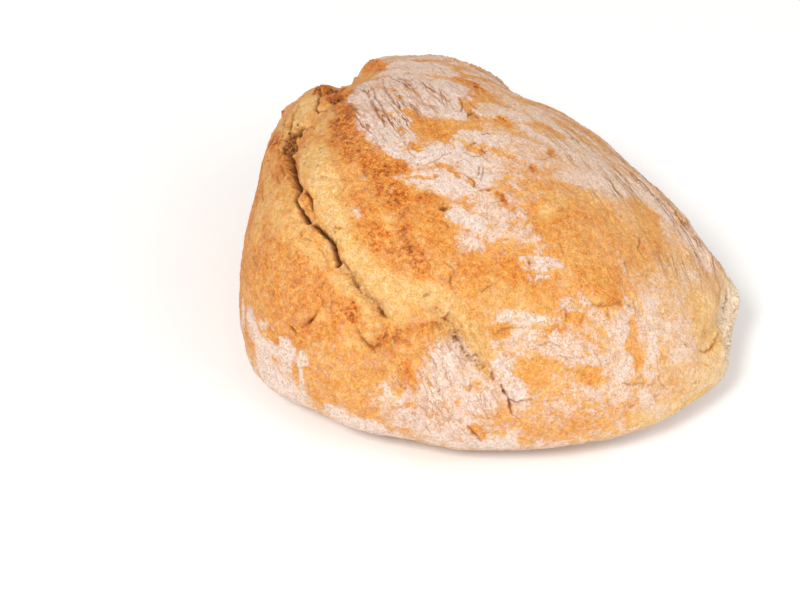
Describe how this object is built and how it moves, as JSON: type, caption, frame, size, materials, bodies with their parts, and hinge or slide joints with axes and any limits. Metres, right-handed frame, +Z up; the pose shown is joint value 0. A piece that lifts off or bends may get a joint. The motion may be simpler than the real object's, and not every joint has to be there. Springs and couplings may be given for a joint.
{
  "type": "sourdough loaf",
  "caption": "Large oval country loaf with a floured, wrinkled crust and one long burst along its flank, lying on a small flat spot.",
  "frame": {"origin": "centre of the bounding box's footprint, on the level of the flat spot that the loaf rests on", "axes": "+X along the loaf's longest side, away from the torn end of the burst; +Z up; the burst flank faces -Y"},
  "size_m": [0.3006, 0.256, 0.1214],
  "materials": {
    "crust": "matte baked crust with flour, no gloss"
  },
  "bodies": {
    "root": {"loaf": "crust"}
  },
  "joints": []
}
